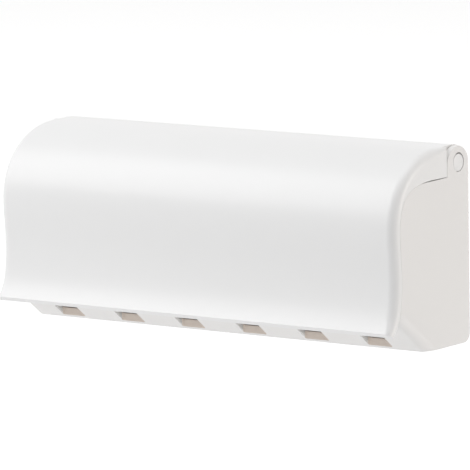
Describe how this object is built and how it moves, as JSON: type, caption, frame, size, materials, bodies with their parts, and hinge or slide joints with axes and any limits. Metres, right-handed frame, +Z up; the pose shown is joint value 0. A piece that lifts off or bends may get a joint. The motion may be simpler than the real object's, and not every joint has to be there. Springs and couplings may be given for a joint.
{
  "type": "toothbrush holder",
  "caption": "Wall-mounted toothbrush holder: a long white plastic case with a curved flip-up lid, a lift-out rack for the brush heads and open slots below for the handles.",
  "frame": {"origin": "middle of the length on the flat back face, 50 mm above the flat underside", "axes": "+X along the length, to the viewer's right; +Y into the wall; +Z up"},
  "size_m": [0.2434, 0.0718, 0.0999],
  "materials": {
    "case_plastic": "satin",
    "lid_plastic": "gloss",
    "rack_plastic": "satin",
    "tape_foam": "matte"
  },
  "bodies": {
    "housing": {"case": "case_plastic", "brush_rack": "rack_plastic", "wall_tape_left": "tape_foam", "wall_tape_right": "tape_foam"},
    "cover": {"lid": "lid_plastic", "hinge_pin_left": "lid_plastic", "hinge_pin_right": "lid_plastic"}
  },
  "joints": [
    {"name": "lid_hinge", "type": "hinge", "parent": "housing", "child": "cover", "pos_m": [0, -0.009, 0.041], "axis": [-1, 0, 0], "range_deg": [0, 90]}
  ]
}
